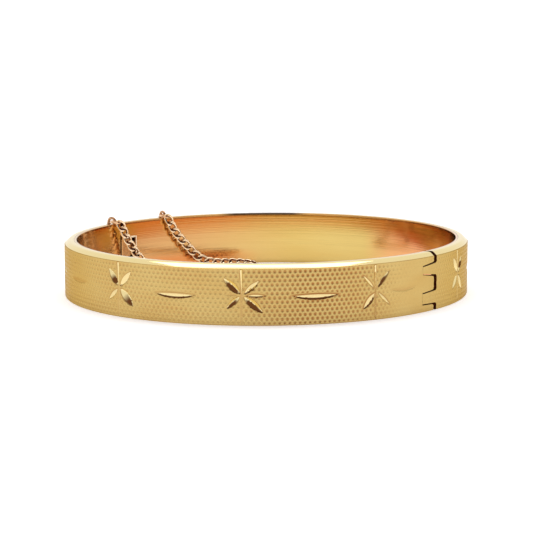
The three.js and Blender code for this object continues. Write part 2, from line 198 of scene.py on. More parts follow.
# ---- Meshes ---------------------------------------------------------------------------------------
def new_mesh(name, points, faces, material, crease=40):
    """A smooth-shaded mesh from points in millimetres."""
    mesh = bpy.data.meshes.new(name)
    mesh.from_pydata((np.asarray(points) * MM).tolist(), [], [tuple(int(i) for i in f) for f in faces])
    mesh.validate()
    mesh.update()
    obj = bpy.data.objects.new(name, mesh)
    bpy.context.scene.collection.objects.link(obj)
    mesh.materials.append(material)
    smooth(obj, crease)
    return obj


def smooth(obj, crease):
    obj.data.polygons.foreach_set("use_smooth", [True] * len(obj.data.polygons))
    obj.data.set_sharp_from_angle(angle=math.radians(crease))


def place(obj, body, slot, *nodes):
    """Rides on a body and stands for CAD nodes; the slot is not used."""
    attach(obj, body)
    if nodes:
        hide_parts(*nodes)


def vertices_of(mesh):
    """A mesh's vertices in millimetres."""
    co = np.empty(len(mesh.vertices) * 3)
    mesh.vertices.foreach_get("co", co)
    return co.reshape(-1, 3) / MM


def grid_faces(rows, columns, closed_rows=False, closed_columns=False):
    """Quads over a rows x columns grid of points stored row by row."""
    row_steps = rows if closed_rows else rows - 1
    column_steps = columns if closed_columns else columns - 1
    r, c = np.meshgrid(np.arange(row_steps), np.arange(column_steps), indexing="ij")
    r2, c2 = (r + 1) % rows, (c + 1) % columns
    corners = [r * columns + c, r * columns + c2, r2 * columns + c2, r2 * columns + c]
    return np.stack(corners, axis=-1).reshape(-1, 4)


def cut_away(obj, cutter):
    """Takes a cutter out of a mesh; the new faces get the cutter's material."""
    modifier = obj.modifiers.new("cut", "BOOLEAN")
    modifier.operation = "DIFFERENCE"
    modifier.solver = "MANIFOLD"
    modifier.material_mode = "TRANSFER"
    modifier.object = cutter
    bpy.context.view_layer.update()
    evaluated = obj.evaluated_get(bpy.context.evaluated_depsgraph_get())
    cut = bpy.data.meshes.new_from_object(evaluated)
    obj.modifiers.clear()
    old = obj.data
    obj.data = cut
    bpy.data.meshes.remove(old)
    bpy.data.objects.remove(cutter)


def arc_points(centre, radius, start, end, steps=6):
    """Points of an arc in a section or outline, angles in degrees."""
    turn = np.radians(np.linspace(start, end, steps))
    return [(centre[0] + radius * math.cos(t), centre[1] + radius * math.sin(t)) for t in turn]


def full_turn(steps):
    """Angles of points spaced evenly round a circle."""
    return 2 * math.pi * np.arange(steps) / steps


# ---- The oval band --------------------------------------------------------------------------------
ARC_STEPS = 20000
arc_angles = np.linspace(0, 2 * math.pi, ARC_STEPS + 1)
arc_speeds = np.hypot(HALF_WIDTH * np.sin(arc_angles), HALF_LENGTH * np.cos(arc_angles))
arc_lengths = np.concatenate([[0], np.cumsum((arc_speeds[1:] + arc_speeds[:-1]) / 2 * np.diff(arc_angles))])
PERIMETER = arc_lengths[-1]


def angle_at(distance):
    """Oval angle at a distance along the outer face from the hinge pin, positive into the rear half."""
    return np.interp(np.mod(distance, PERIMETER), arc_lengths, arc_angles)


def distance_at(angle):
    return np.interp(np.mod(angle, 2 * math.pi), arc_angles, arc_lengths)


def band_points(distance, depth, z):
    """Points at distances along the band, depths below the outer face and heights."""
    distance, depth, z = np.broadcast_arrays(distance, depth, z)
    angle = angle_at(distance)
    normal = np.stack([np.cos(angle) / HALF_WIDTH, np.sin(angle) / HALF_LENGTH], axis=-1)
    normal /= np.linalg.norm(normal, axis=-1, keepdims=True)
    outer = np.stack([HALF_WIDTH * np.cos(angle), HALF_LENGTH * np.sin(angle)], axis=-1)
    flat = outer - normal * depth[..., None]
    return np.concatenate([flat, z[..., None]], axis=-1)


CLASP_DISTANCE = distance_at(CLASP_ANGLE)
REAR_END = CLASP_DISTANCE - SEAM / 2
FRONT_START = CLASP_DISTANCE + SEAM / 2 - PERIMETER


# ---- The cut pattern ------------------------------------------------------------------------------
def leaf_depth(along, across, end, half_width, lean, slope=LEAF_SLOPE):
    """Depth of a V-cut whose outline is a leaf, widest a little before its middle."""
    t = np.clip((along - LEAF_START) / (end - LEAF_START), 0, 1)
    edge = half_width * np.sin(math.pi * t ** LEAF_SKEW) ** LEAF_FULLNESS
    left_wall = (edge - across) / (1 - lean)
    right_wall = (edge + across) / (1 + lean)
    return np.maximum(0, np.minimum(left_wall, right_wall)) * slope


def marquise_depth(along, across, length):
    """Depth of a boat-shaped cut, straight above and curved below: a wide facet above a narrow one."""
    t = np.clip(along / length + 0.5, 0, 1)
    swell = np.sin(math.pi * t)
    upper = MARQUISE_UPPER * swell ** MARQUISE_UPPER_FULLNESS
    lower = MARQUISE_LOWER * swell ** MARQUISE_LOWER_FULLNESS
    valley = -MARQUISE_VALLEY * lower
    wide = (upper - across) * MARQUISE_SLOPE
    narrow = (across + lower) * MARQUISE_SLOPE * (upper - valley) / np.maximum(valley + lower, 1e-6)
    return np.maximum(0, np.minimum(wide, narrow))


def spine_depth(x, y):
    """Depth of the upright cut through a star, beside and above the star's middle."""
    left = SPINE_LEFT + SPINE_FLARE * np.clip(y / STAR_HEIGHT, 0, 1)
    return np.minimum((x + left) * SPINE_LEFT_SLOPE, (SPINE_RIGHT - x) * SPINE_RIGHT_SLOPE)


def cut_depth(distance, z):
    """Depth of the bright cuts below the face."""
    depth = np.zeros_like(distance)
    for star in STAR_DISTANCES:
        x, y = distance - star, z - STAR_HEIGHT
        near = np.abs(x) < STAR_REACH
        for degrees, *shape in OWN_STARS.get(star, USUAL_STAR):
            a = math.radians(degrees)
            along = x * math.cos(a) + y * math.sin(a)
            across = -x * math.sin(a) + y * math.cos(a)
            leaf = leaf_depth(along, across, *shape)
            depth = np.where(near, np.maximum(depth, leaf), depth)
        depth = np.maximum(depth, spine_depth(x, y))
    for centre, length, strength in MARQUISES:
        marquise = marquise_depth(distance - centre, z - STAR_HEIGHT + MARQUISE_DROP, length)
        depth = np.maximum(depth, strength * marquise)
    return depth


def hill(distance, centre, width):
    """1 at a place along the band, falling off to 0 on both sides of it."""
    return np.exp(-((distance - centre) / width) ** 2)


def stipple_depth(distance, z):
    """Staggered rows of small pits, worn shallow at the clasp end and by the hinge."""
    row = np.floor(z / STIPPLE_ROW)
    u = distance / STIPPLE_PITCH + 0.5 * np.mod(row, 2)
    u = u - np.round(u)
    w = z / STIPPLE_ROW - row - 0.5
    pit = np.maximum(0, 1 - (u / PIT_HALF_LENGTH) ** 2 - (w / PIT_HALF_HEIGHT) ** 2)
    hinge_wear = 1 - HINGE_WEAR * hill(distance, *HINGE_WEAR_PLACE)
    from_front_end = distance - FRONT_START - FRONT_WEAR_START
    front_wear = np.clip(from_front_end / FRONT_WEAR_LENGTH, END_WEAR_LEAST, 1)
    rear_wear = np.clip((REAR_END - distance) / REAR_WEAR_LENGTH, END_WEAR_LEAST, 1)
    fresh = 1 - FRESH_SHARE + FRESH_SHARE * hill(distance, *FRESH_PLACE)
    return STIPPLE_DEPTH * pit * hinge_wear * (front_wear * rear_wear) * fresh


def face_depth(distance, z):
    """Depth of the whole pattern, cuts over stipple, fading out at the rims."""
    cut = cut_depth(distance, z)
    border = np.clip(np.minimum(z - LOWER_ROUND, HEIGHT - BEVEL_HIGH - z) / BORDER, 0, 1)
    return np.where(cut > 0, cut, stipple_depth(distance, z)) * border


# ---- Sections of the band -------------------------------------------------------------------------
def bevel_points(steps=9):
    """The upper rim: a crisp shoulder, then a convex bevel that flattens upwards, as (depth, z)."""
    shares = np.linspace(0, 1, steps)[1:]
    return [(BEVEL_DEEP * t, HEIGHT - BEVEL_HIGH * (1 - t) ** BEVEL_CURVE) for t in shares]


def shell_section():
    """The channel section from the outer face over the top rim, down inside and back, as (depth, z)."""
    face = [(0.0, z) for z in np.linspace(LOWER_ROUND, HEIGHT - BEVEL_HIGH, ROW_COUNT)]
    top = bevel_points() + [(FLANGE_END, HEIGHT), (FLANGE_END, HEIGHT - SHEET)]
    inside = [(SHEET + INNER_BEND, HEIGHT - SHEET), (SHEET, HEIGHT - SHEET - INNER_BEND)]
    bottom = [(d, HEIGHT - z) for d, z in reversed(inside)] + [(FLANGE_END, SHEET), (FLANGE_END, 0)]
    bottom += arc_points((LOWER_ROUND, LOWER_ROUND), LOWER_ROUND, 270, 192)
    return face + top + inside + bottom


def liner_section():
    """A flat strip with rounded edges against the wrist."""
    outer = WALL - LINER
    low, high = LINER_LOW + LINER_EDGE, LINER_HIGH - LINER_EDGE
    inner = [(WALL, z) for z in np.linspace(low, high, LINER_ROWS)]
    top_edge = arc_points((WALL - LINER_EDGE, high), LINER_EDGE, 20, 90, 4)
    low_edge = arc_points((WALL - LINER_EDGE, low), LINER_EDGE, -90, -20, 4)
    return (low_edge + inner + top_edge + [(outer, LINER_HIGH), (outer, LINER_LOW)])[::-1]


def leaf_section():
    """The liner's face in front of a block that fits inside the channel of the shell."""
    inside = SHEET + GAP
    bottom, top, *face = liner_section()
    high, low = HEIGHT - inside, inside
    return [bottom, (bottom[0], low), (inside, low), (inside, high), (top[0], high), top, *face]


def window_section():
    """What the catch's window takes out of the wall."""
    low, high = MIDDLE - WINDOW_HALF_HEIGHT, MIDDLE + WINDOW_HALF_HEIGHT
    out = WALL + WINDOW_OVER
    return [(WINDOW_FLOOR, high), (out, high), (out, low), (WINDOW_FLOOR, low)]


def swept(name, section, start, end, step, material, depth_of=None):
    """A section of (depth, z) points swept along the band, closed at both ends."""
    section = np.array(section)
    columns = np.linspace(start, end, int(round((end - start) / step)) + 1)
    rows, count = len(section), len(columns)
    distance, depth = np.meshgrid(columns, section[:, 0])
    z = np.repeat(section[:, 1][:, None], count, axis=1)
    if depth_of:
        on_face = (section[:, 0] == 0)[:, None]
        depth = np.where(on_face, depth_of(distance, z), depth)
    points = band_points(distance, depth, z).reshape(-1, 3)
    faces = grid_faces(rows, count, closed_rows=True).tolist()
    faces.append([i * count for i in range(rows)])
    faces.append([i * count + count - 1 for i in reversed(range(rows))])
    obj = new_mesh(name, points, faces, material)
    # The end caps take the dark recess finish, dirt and painted shade; so do the faces that cutters cut.
    obj.data.materials.append(recess)
    for cap in list(obj.data.polygons)[-2:]:
        cap.material_index = 1
    return obj


# ---- Hinge cutters --------------------------------------------------------------------------------
def extrusion(name, near, far):
    """A closed cutter between two outlines of as many points."""
    count = len(near)
    sides = [(i, (i + 1) % count, (i + 1) % count + count, i + count) for i in range(count)]
    faces = [tuple(reversed(range(count))), tuple(range(count, 2 * count))] + sides
    return new_mesh(name, np.concatenate([near, far]), faces, recess)


def prism(name, outline):
    """A cutter along X through the wall at the hinge, from an outline of (y, z) points."""
    reach = (HALF_WIDTH - CUTTER_IN, HALF_WIDTH + CUTTER_OVER)
    near, far = (np.column_stack([np.full(len(outline), x), outline]) for x in reach)
    return extrusion(name, near, far)


def swing_relief(low, high):
    """A round cutter about the pin, for the fingers of the other half to turn in."""
    turns = np.radians(np.arange(0, 360, 10))
    radius = math.hypot(KNUCKLE_REACH, WALL / 2) + RELIEF
    x, y = HALF_WIDTH - WALL / 2 + radius * np.cos(turns), radius * np.sin(turns)
    near, far = (np.column_stack([x, y, np.full(len(turns), z)]) for z in (low, high))
    return extrusion("relief", near, far)


def front_gap(lower, upper):
    """Outline of the gap between two front fingers, flaring round their tip corners."""
    _, low_root, _, low_tip = lower
    high_root, _, high_tip, _ = upper
    root, tip, r = -KNUCKLE_REACH - RELIEF, KNUCKLE_REACH, FINGER_CORNER
    below = arc_points((tip - r, low_tip - r), r, 90, 0) + [(tip + CUTTER_OVER, low_tip - r)]
    above = [(tip + CUTTER_OVER, high_tip + r)] + arc_points((tip - r, high_tip + r), r, 0, -90)
    return [(root, low_root)] + below + above + [(root, high_root)]


def rear_pocket(finger, kerf, tip_gap):
    """Outline of the pocket in the rear half that a front finger turns in."""
    low_root, high_root, low_tip, high_tip = finger
    low_root, low_tip = low_root - kerf, low_tip - kerf
    high_root, high_tip = high_root + kerf, high_tip + kerf
    root, tip, r = -KNUCKLE_REACH - CUTTER_OVER, KNUCKLE_REACH + tip_gap, FINGER_CORNER
    low_corner = arc_points((tip - r, low_tip + r), r, -90, 0)
    high_corner = arc_points((tip - r, high_tip - r), r, 0, 90)
    low_start, high_start = (-KNUCKLE_REACH, low_root), (-KNUCKLE_REACH, high_root)
    return [(root, low_root), low_start] + low_corner + high_corner + [high_start, (root, high_root)]


def cut_hinge(obj, half, kerf, tip_gap):
    """Cuts the hinge's fingers: the front's to their size, the rear's to fit with a kerf and tip gap."""
    if half == "front":
        for lower, upper in zip(FRONT_FINGERS, FRONT_FINGERS[1:]):
            cut_away(obj, prism("gap", front_gap(lower, upper)))
            cut_away(obj, swing_relief(lower[1], upper[0]))
    else:
        for finger in FRONT_FINGERS:
            cut_away(obj, prism("pocket", rear_pocket(finger, kerf, tip_gap)))


# ---- Materials ------------------------------------------------------------------------------------
GOLD = (0.57, 0.408, 0.15)
SATIN_EDGE = (0.72, 0.6, 0.42)  # tint of the satin face seen edge-on
BRIGHT_EDGE = (1.0, 0.97, 0.9)  # and of the polished cuts and rims
CUT_GOLD = (0.80, 0.65, 0.32)  # fresh metal in the bright cuts
INNER_GOLD = (0.64, 0.475, 0.16)
ROSE = (0.84, 0.56, 0.34)
OLD_ROSE = (0.5, 0.29, 0.16)
# A pale gold that paints a highlight along the window's frame.
FRAME_PAINTED_HIGHLIGHT = (0.95, 0.8, 0.6)
SPRING_GOLD = (0.6, 0.33, 0.14)
# Near-black: dirt and painted shade in the hinge gaps, the end caps and the clasp's end plates.
DIRT_AND_SHADE_GOLD = (0.1, 0.03, 0.014)
# Red-brown painted shade on the cut walls of the catch's window.
WINDOW_PAINTED_SHADE = (0.5, 0.2, 0.1)
# Painted light on the chain: a painted highlight on the links' outsides and painted shade in their hollows.
LINK_PAINTED_HIGHLIGHT = (0.98, 0.78, 0.52)
LINK_PAINTED_SHADE = (0.2, 0.07, 0.035)
WALL_STREAKS = (0.012, 6.0, 6.0)  # scales of noise along the band, up it and through it
RIM_STREAKS = (0.012, 2.6, 2.6)
FACE_STREAKS = (0.05, 9.0, 9.0)
SPRING_STREAKS = (3.0, 3.0, 0.3)
FINE_GRAIN = (2.0, 2.0, 2.0)

# Strengths along the band, by the part of the way round from the hinge pin, rear half first.
# A painted dark reflection along the rear half's rim.
RIM_PAINTED_REFLECTION = [(0.325, 0.0), (0.34, 1.0), (0.395, 1.0), (0.41, 0.0)]
# Painted reflections on the inner wall: redder by the hinge and the clasp, red-brown low by the clasp.
WALL_REFLECTION_BY_HINGE = [(0.0, 1.0), (0.2, 1.0), (0.24, 0.7), (0.27, 0.0), (0.9, 0.0), (1.0, 1.0)]
WALL_REFLECTION_BY_CLASP = [(0.34, 0.0), (0.43, 0.8), (0.5, 1.0), (0.56, 1.0), (0.66, 0.0)]
WALL_LOW_REFLECTION = [(0.37, 0.0), (0.41, 0.75), (0.48, 0.75), (0.5, 0.3), (0.56, 0.0)]
# How much darker the face is along the band: darkest over the rear half, lightest four fifths of the way
# round.
FACE_DARKENING = [
    (0.0, 0.4), (0.5, 0.4), (0.7, 0.3), (0.8, 0.0), (0.87, 0.3), (0.93, 0.3), (0.97, 0.1), (1.0, 0.3),
]
PITS_SOILED = [(0.5, 0.1), (0.68, 0.1), (0.84, 0.2), (0.89, 0.9), (0.93, 0.8), (0.965, 0.1), (1.0, 0.0)]
# Strengths by the depth below the face, in millimetres.
PIT_DEPTHS = [(0.0, 0.0), (0.02, 0.12), (0.062, 1.0), (0.085, 1.0), (0.11, 0.0)]
SATIN_DEPTHS = [(0.0, 1.0), (0.09, 1.0), (0.115, 0.0), (1.0, 0.0)]
CUT_DEPTHS = (0.085, 0.12)  # where bright metal begins and is full
# Heights on the band between which a painted reflection goes from none to full.
RIM_REFLECTION_HEIGHTS = (HEIGHT - 0.4, HEIGHT - 0.2)
NEAR_RIM_HEIGHTS = (5.4, 7.4)
LOW_REFLECTION_HEIGHTS = (2.7, 1.5)
LINK_SHADE_SHARE = 0.4  # of the way from a link's hollows to its crests that is painted shade
LINK_HIGHLIGHT_SHARE = 0.72  # and where it is all painted highlight


def color_ramp(tree, value, stops):
    """A ramp of colours or strengths over a value from 0 to 1."""
    ramp = tree.nodes.new("ShaderNodeValToRGB")
    elements = ramp.color_ramp.elements
    while len(elements) < len(stops):
        elements.new(0.5)
    for element, (position, color) in zip(elements, stops):
        element.position = position
        element.color = (*color, 1) if isinstance(color, tuple) else (color, color, color, 1)
    tree.links.new(value, ramp.inputs["Fac"])
    return ramp.outputs["Color"]


class Nodes:
    """A material's node tree, with short ways to add and join nodes."""

    def __init__(self, name, on_band=True):
        """Coordinates in millimetres: the band's own, or for a CAD node, which has none, the object's."""
        self.material = bpy.data.materials.new(name)
        self.material.use_nodes = True
        self.tree = self.material.node_tree
        self.shader = self.tree.nodes["Principled BSDF"]
        self.shader.inputs["Metallic"].default_value = 1.0
        if on_band:
            self.place = self.attribute("band", "Vector")
        else:
            scale = self.tree.nodes.new("ShaderNodeVectorMath")
            scale.operation = "SCALE"
            scale.inputs["Scale"].default_value = 1 / MM
            self.join(self.tree.nodes.new("ShaderNodeTexCoord").outputs["Object"], scale.inputs[0])
            self.place = scale.outputs["Vector"]

    def join(self, source, target):
        self.tree.links.new(source, target)

    def attribute(self, name, output):
        node = self.tree.nodes.new("ShaderNodeAttribute")
        node.attribute_name = name
        return node.outputs[output]

    def noise(self, scale, detail=4.0):
        """Noise over the coordinates, with a scale for each of them."""
        mapping = self.tree.nodes.new("ShaderNodeMapping")
        mapping.inputs["Scale"].default_value = scale
        self.join(self.place, mapping.inputs["Vector"])
        texture = self.tree.nodes.new("ShaderNodeTexNoise")
        texture.inputs["Scale"].default_value = 1.0
        texture.inputs["Detail"].default_value = detail
        self.join(mapping.outputs["Vector"], texture.inputs["Vector"])
        return texture.outputs["Fac"]

    def part(self, axis):
        split = self.tree.nodes.new("ShaderNodeSeparateXYZ")
        self.join(self.place, split.inputs["Vector"])
        return split.outputs[axis]

    def height(self):
        return self.part("Y")

    def depth(self):
        return self.part("Z")

    def along(self, stops):
        """A ramp over the distance along the band, as parts of the way round from the hinge pin."""
        whole_turn = self.span(self.part("X"), 0.0, PERIMETER, 0.0, 1.0)
        return color_ramp(self.tree, whole_turn, stops)

    def span(self, value, low, high, out_low, out_high):
        """A value mapped from one range to another, held at its ends."""
        node = self.tree.nodes.new("ShaderNodeMapRange")
        ends = {"From Min": low, "From Max": high, "To Min": out_low, "To Max": out_high}
        for name, number in ends.items():
            node.inputs[name].default_value = number
        self.join(value, node.inputs["Value"])
        return node.outputs["Result"]

    def multiply(self, a, b):
        node = self.tree.nodes.new("ShaderNodeMath")
        node.operation = "MULTIPLY"
        self.join(a, node.inputs[0])
        self.join(b, node.inputs[1])
        return node.outputs["Value"]

    def mix(self, factor, a, b):
        """A where the factor is 0 and b where it is 1; either is a colour or an output."""
        node = self.tree.nodes.new("ShaderNodeMix")
        node.data_type = "RGBA"
        for source, name in ((a, "A"), (b, "B")):
            if isinstance(source, tuple):
                node.inputs[name].default_value = (*source, 1)
            else:
                self.join(source, node.inputs[name])
        self.join(factor, node.inputs["Factor"])
        return node.outputs["Result"]

    def bump(self, height, distance):
        node = self.tree.nodes.new("ShaderNodeBump")
        node.inputs["Distance"].default_value = distance * MM
        self.join(height, node.inputs["Height"])
        self.join(node.outputs["Normal"], self.shader.inputs["Normal"])

    def painted_rim_reflection(self, tinted, color):
        """A painted dark reflection along a length of the rear half's rim, over everything else."""
        top = self.span(self.height(), *RIM_REFLECTION_HEIGHTS, 0.0, 1.0)
        return self.mix(self.multiply(top, self.along(RIM_PAINTED_REFLECTION)), tinted, wear_and_painted_light(color, 0.12, 0.08, 0.1))


# Scales a colour's channels: for tarnish, uneven tone and darkening, and for painted reflections.
def wear_and_painted_light(color, red, green, blue):
    return (color[0] * red, color[1] * green, color[2] * blue)


def link_painted_light(name):
    """Chain wire with painted light: a painted highlight on the links' outsides, painted shade in their
    hollows.
    """
    nodes = Nodes(name)
    stops = [(0.0, LINK_PAINTED_SHADE), (LINK_SHADE_SHARE, LINK_PAINTED_SHADE), (LINK_HIGHLIGHT_SHARE, LINK_PAINTED_HIGHLIGHT), (1.0, LINK_PAINTED_HIGHLIGHT)]
    shade = color_ramp(nodes.tree, nodes.attribute("painted_light", "Fac"), stops)
    nodes.join(shade, nodes.shader.inputs["Base Color"])
    grain = nodes.noise(FINE_GRAIN)
    nodes.join(nodes.span(grain, 0.3, 0.7, 0.1, 0.2), nodes.shader.inputs["Roughness"])
    nodes.bump(grain, 0.004)
    return nodes.material


def wall_painted_reflections(nodes, tinted, color):
    """The inner wall's painted reflections: redder by the hinge and the clasp, red-brown low by the clasp,
    warm in streaks near the rim.
    """
    tinted = nodes.mix(nodes.along(WALL_REFLECTION_BY_HINGE), tinted, wear_and_painted_light(color, 1.3, 0.84, 1.15))
    tinted = nodes.mix(nodes.along(WALL_REFLECTION_BY_CLASP), tinted, wear_and_painted_light(color, 0.98, 0.74, 0.9))
    low = nodes.span(nodes.height(), *LOW_REFLECTION_HEIGHTS, 0.0, 1.0)
    soil_and_reflection = nodes.multiply(low, nodes.along(WALL_LOW_REFLECTION))
    tinted = nodes.mix(soil_and_reflection, tinted, wear_and_painted_light(color, 1.08, 0.48, 0.4))
    # A painted warm reflection in streaks near the rim.
    near_rim = nodes.span(nodes.height(), *NEAR_RIM_HEIGHTS, 0.0, 1.0)
    streaked = nodes.span(nodes.noise(RIM_STREAKS), 0.35, 0.6, 0.35, 1.0)
    tinted = nodes.mix(nodes.multiply(near_rim, streaked), tinted, wear_and_painted_light(color, 1.0, 0.76, 0.7))
    return nodes.painted_rim_reflection(tinted, color)


def plain_gold(name, color, roughness, streaks, bump, inner_wall=False, on_band=True):
    """Polished gold alloy: polishing streaks in its roughness and relief, and uneven tarnish; on the inner
    wall, painted reflections too.
    """
    nodes = Nodes(name, on_band)
    grain = nodes.noise(streaks)
    uneven = nodes.span(grain, 0.3, 0.7, roughness * 0.7, roughness * 1.4)
    nodes.join(uneven, nodes.shader.inputs["Roughness"])
    patches = nodes.span(nodes.noise((0.05, 0.4, 0.4), 5.0), 0.4, 0.66, 0.0, 1.0)
    tinted = nodes.mix(patches, color, wear_and_painted_light(color, 0.96, 0.9, 0.82))
    if inner_wall:
        tinted = wall_painted_reflections(nodes, tinted, color)
    nodes.join(tinted, nodes.shader.inputs["Base Color"])
    nodes.bump(grain, bump)
    return nodes.material


def band_gold(name, color):
    """The outer sheet: satin stippled face, tarnish in the pits, mirror-bright cuts, a polished rim with a
    painted dark reflection on the rear half.
    """
    nodes = Nodes(name)
    depth = nodes.depth()
    pit = color_ramp(nodes.tree, depth, PIT_DEPTHS)
    patches = nodes.span(nodes.noise((0.12, 0.3, 0.3), 5.0), 0.38, 0.68, 0.0, 1.0)
    face = nodes.mix(patches, color, wear_and_painted_light(color, 0.95, 0.88, 0.8))
    tarnish = nodes.span(nodes.noise((0.13, 0.5, 0.5), 5.0), 0.38, 0.66, 0.0, 0.6)
    tinted = nodes.mix(nodes.multiply(pit, tarnish), face, wear_and_painted_light(color, 0.7, 0.42, 0.36))
    # Darker along parts of the band.
    tinted = nodes.mix(nodes.along(FACE_DARKENING), tinted, wear_and_painted_light(color, 0.84, 0.82, 0.8))
    soil_and_reflection = nodes.multiply(nodes.along(PITS_SOILED), pit)
    tinted = nodes.mix(soil_and_reflection, tinted, wear_and_painted_light(color, 0.55, 0.29, 0.2))
    tinted = nodes.mix(nodes.span(depth, *CUT_DEPTHS, 0.0, 1.0), tinted, CUT_GOLD)
    # The rear rim takes the painted dark reflection here as well.
    nodes.join(nodes.painted_rim_reflection(tinted, color), nodes.shader.inputs["Base Color"])
    grain = nodes.noise(FACE_STREAKS)
    satin = color_ramp(nodes.tree, depth, SATIN_DEPTHS)
    nodes.join(nodes.mix(satin, (0.07, 0.07, 0.07), (0.23, 0.23, 0.23)), nodes.shader.inputs["Roughness"])
    nodes.join(nodes.mix(satin, BRIGHT_EDGE, SATIN_EDGE), nodes.shader.inputs["Specular Tint"])
    nodes.bump(nodes.multiply(satin, grain), 0.006)
    return nodes.material


textured = band_gold("textured_gold", GOLD)
polished = plain_gold("polished_gold", INNER_GOLD, 0.11, WALL_STREAKS, 0.006, inner_wall=True)
wire = plain_gold("wire_gold", ROSE, 0.1, FINE_GRAIN, 0.004)
old_wire = plain_gold("old_wire_gold", OLD_ROSE, 0.22, FINE_GRAIN, 0.008)
# The frame's pale colour is a painted highlight.
frame_wire = plain_gold("frame_painted_highlight", FRAME_PAINTED_HIGHLIGHT, 0.35, FINE_GRAIN, 0.004)
spring = plain_gold("spring_gold", SPRING_GOLD, 0.3, SPRING_STREAKS, 0.006, on_band=False)
# Dark finishes of dirt and painted shade, for the clasp's end plates and for recesses.
plate = plain_gold("plate_dirt_and_shade", DIRT_AND_SHADE_GOLD, 0.5, FINE_GRAIN, 0.01, on_band=False)
recess = plain_gold("recess_dirt_and_shade", DIRT_AND_SHADE_GOLD, 0.5, FINE_GRAIN, 0.01)
# The window's cut walls are painted red-brown for shade.
window_wall = plain_gold("window_painted_shade", WINDOW_PAINTED_SHADE, 0.4, FINE_GRAIN, 0.01)
link_wire = link_painted_light("link_painted_light")


def add_band_coordinates(obj):
    """Stores distance along the band, height and depth below the face, in millimetres, for finishes and
    painted reflections.
    """
    points = vertices_of(obj.data)
    flat = points[:, :2]
    surface = flat
    for _ in range(4):
        distance = distance_at(np.arctan2(surface[:, 1] / HALF_LENGTH, surface[:, 0] / HALF_WIDTH))
        face = band_points(distance, 0.0, 0.0)[:, :2]
        normal = face - band_points(distance, 1.0, 0.0)[:, :2]
        depth = ((face - flat) * normal).sum(1)
        surface = flat + normal * depth[:, None]
    attribute = obj.data.attributes.new("band", "FLOAT_VECTOR", "POINT")
    attribute.data.foreach_set("vector", np.column_stack([distance, points[:, 2], depth]).ravel())


# ---- Band pieces ----------------------------------------------------------------------------------
shell_spans = {"front": (FRONT_START, KNUCKLE_REACH), "rear": (-KNUCKLE_REACH, REAR_END)}
for half, (start, end) in shell_spans.items():
    shell = swept(f"{half}_band", shell_section(), start, end, COLUMN_STEP, textured, face_depth)
    cut_hinge(shell, half, KERF, TIP_GAP)
    smooth(shell, BAND_CREASE)
    place(shell, f"{half}_half", "textured_gold", f"{half}_outer_shell")

liner_spans = {
    "front": (FRONT_START + LINER_SETBACK, -LEAF_LENGTH - GAP),
    "rear": (LEAF_LENGTH + GAP, REAR_END - LINER_SETBACK),
}
window_far = CLASP_DISTANCE - WINDOW_LENGTH
for half, (start, end) in liner_spans.items():
    sheet = swept(f"{half}_inner_sheet", liner_section(), start, end, LINER_STEP, polished)
    if half == "rear":
        past_clasp = CLASP_DISTANCE + WINDOW_OVER
        cut_away(sheet, swept("window", window_section(), window_far, past_clasp, LINER_STEP, window_wall))
        smooth(sheet, LINER_CREASE)
    place(sheet, f"{half}_half", "polished_gold", f"{half}_liner")

leaf_spans = {"front": (-LEAF_LENGTH, KNUCKLE_REACH), "rear": (-KNUCKLE_REACH, LEAF_LENGTH)}
for half, (start, end) in leaf_spans.items():
    leaf = swept(f"{half}_knuckles", leaf_section(), start, end, LEAF_STEP, polished)
    cut_hinge(leaf, half, LEAF_KERF, LEAF_TIP_GAP)
    smooth(leaf, LINER_CREASE)
    place(leaf, f"{half}_half", "polished_gold", f"{half}_hinge_leaf")


# ---- Wire pieces ----------------------------------------------------------------------------------
ANY_DIRECTION = (0.3, 0.5, 0.8)  # along none of the wires


def tube(name, centres, radius, material, closed, sides=12):
    """A round wire along a path of points, closed on itself or with flat ends."""
    centres = np.asarray(centres, float)
    count = len(centres)
    if closed:
        tangents = np.roll(centres, -1, 0) - np.roll(centres, 1, 0)
    else:
        tangents = np.gradient(centres, axis=0)
    tangents /= np.linalg.norm(tangents, axis=1, keepdims=True)
    normal = np.cross(tangents[0], ANY_DIRECTION)
    frames = []
    for tangent in tangents:
        normal = normal - tangent * (normal @ tangent)
        normal /= np.linalg.norm(normal)
        frames.append((normal, np.cross(tangent, normal)))
    turns = full_turn(sides)
    rings = []
    for centre, (n, b) in zip(centres, frames):
        rings.append(centre + radius * (np.cos(turns)[:, None] * n + np.sin(turns)[:, None] * b))
    faces = grid_faces(count, sides, closed_columns=True).tolist()
    last = (count - 1) * sides
    if closed:
        # The frame turns a little on its way round; the last ring joins the nearest corner of the first.
        (n, b), n_last = frames[0], frames[-1][0]
        offset = int(round(math.atan2(n_last @ b, n_last @ n) / (2 * math.pi / sides)))
        for i in range(sides):
            j = (i + 1) % sides
            faces.append([last + i, last + j, (j + offset) % sides, (i + offset) % sides])
    else:
        faces.append(list(range(sides)))
        faces.append([last + i for i in reversed(range(sides))])
    return new_mesh(name, np.concatenate(rings), faces, material, WIRE_CREASE)


def dome(name, centre, material, rings=5, sides=16):
    """A flattened bead of solder on the rim's top, closed underneath."""
    turns = full_turn(sides)
    circle = np.column_stack([np.cos(turns), np.sin(turns), np.zeros(sides)])
    points = []
    for t in np.linspace(0, math.pi / 2, rings, endpoint=False):
        points.append(circle * BEAD_RADIUS * math.cos(t) + centre + [0, 0, BEAD_HEIGHT * math.sin(t)])
    points = np.concatenate(points + [[centre + [0, 0, BEAD_HEIGHT]]])
    faces = grid_faces(rings, sides, closed_columns=True).tolist()
    last, top = (rings - 1) * sides, len(points) - 1
    faces += [[last + i, last + (i + 1) % sides, top] for i in range(sides)]
    faces.append(list(reversed(range(sides))))
    return new_mesh(name, points, faces, material, WIRE_CREASE)


